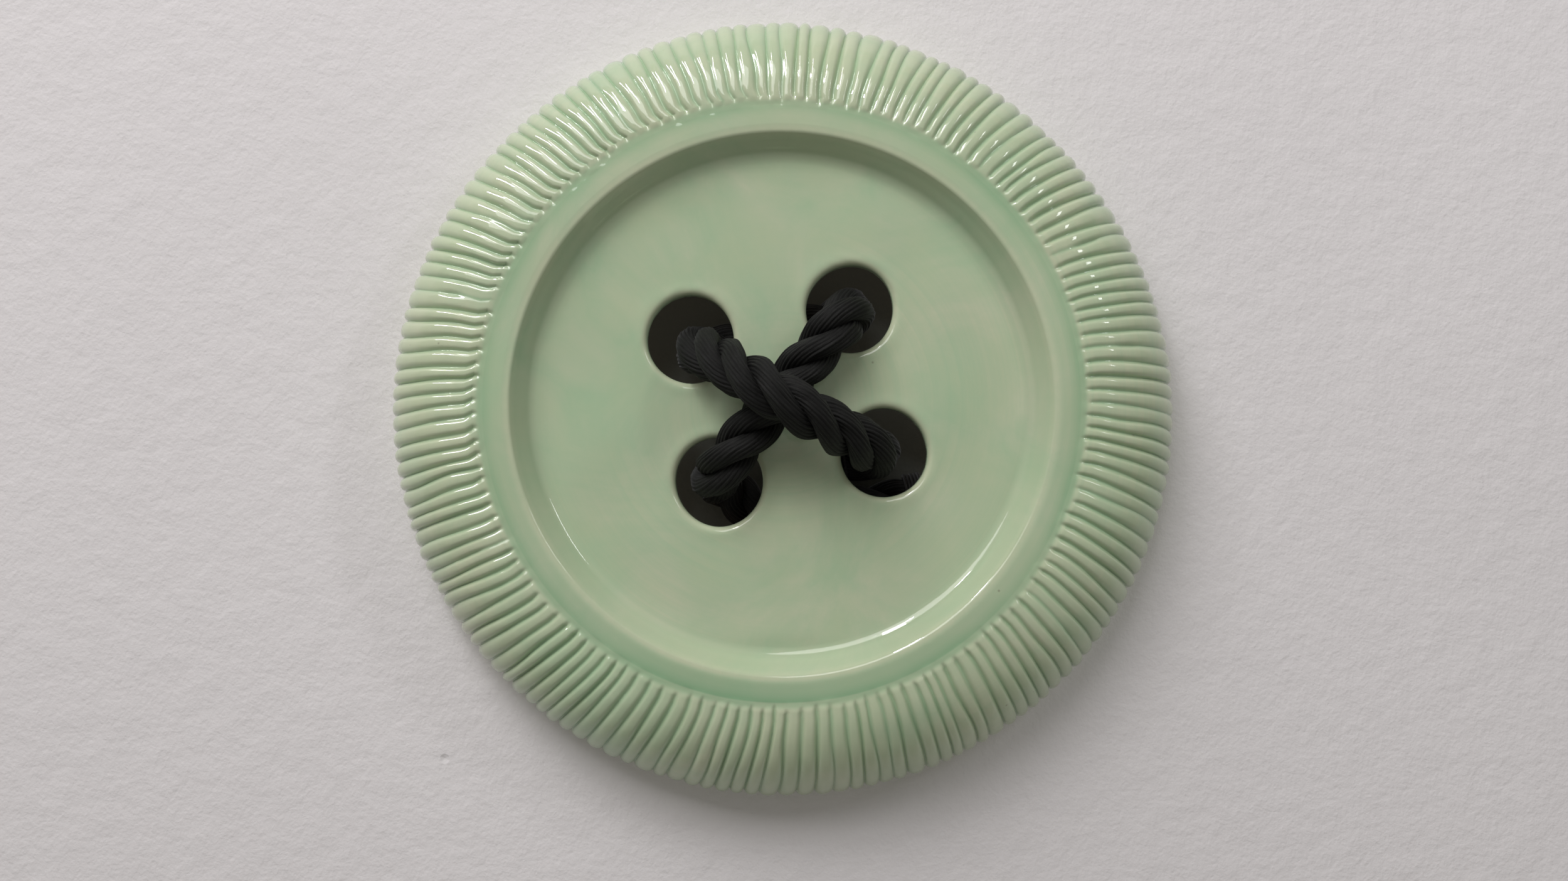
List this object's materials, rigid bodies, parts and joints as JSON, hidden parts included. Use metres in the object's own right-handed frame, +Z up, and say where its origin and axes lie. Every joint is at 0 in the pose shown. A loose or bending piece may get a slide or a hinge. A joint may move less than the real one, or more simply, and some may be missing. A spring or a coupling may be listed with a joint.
{
  "type": "giant sewing button wall ornament",
  "caption": "Giant wall-hung sewing button: glazed ceramic dish with a grooved rim, round holes and thick twisted rope stitched in an X.",
  "frame": {"origin": "centre of the disc on the wall plane that its foot ring lies against", "axes": "+X to the viewer's right, +Y into the wall, +Z up; the button's face looks along -Y"},
  "size_m": [0.32, 0.0724, 0.32],
  "materials": {
    "celadon_glaze": "glossy pale celadon glaze, pooled darker in the grooves",
    "black_rope": "matt black twisted yarn",
    "black_twine": "waxed black twine",
    "kiln_wire": "oxidised high-temperature wire",
    "picture_wire": "stranded picture wire",
    "sleeve_metal": "crimped soft metal"
  },
  "bodies": {
    "button": {"glazed_disc": "celadon_glaze", "rope_strand_1": "black_rope", "rope_strand_2": "black_rope", "rope_strand_3": "black_rope", "rope_end_whipping_1": "black_twine", "rope_end_whipping_2": "black_twine", "rope_seizing": "black_twine", "hanger_loop_left": "kiln_wire", "hanger_loop_right": "kiln_wire"},
    "hanger_wire": {"picture_wire": "picture_wire", "crimp_sleeve_left": "sleeve_metal", "crimp_sleeve_right": "sleeve_metal"}
  },
  "joints": [
    {"name": "wire_swing", "type": "hinge", "parent": "button", "child": "hanger_wire", "pos_m": [0, -0.012, 0.075], "axis": [1, 0, 0], "range_deg": [-30, 35]}
  ]
}
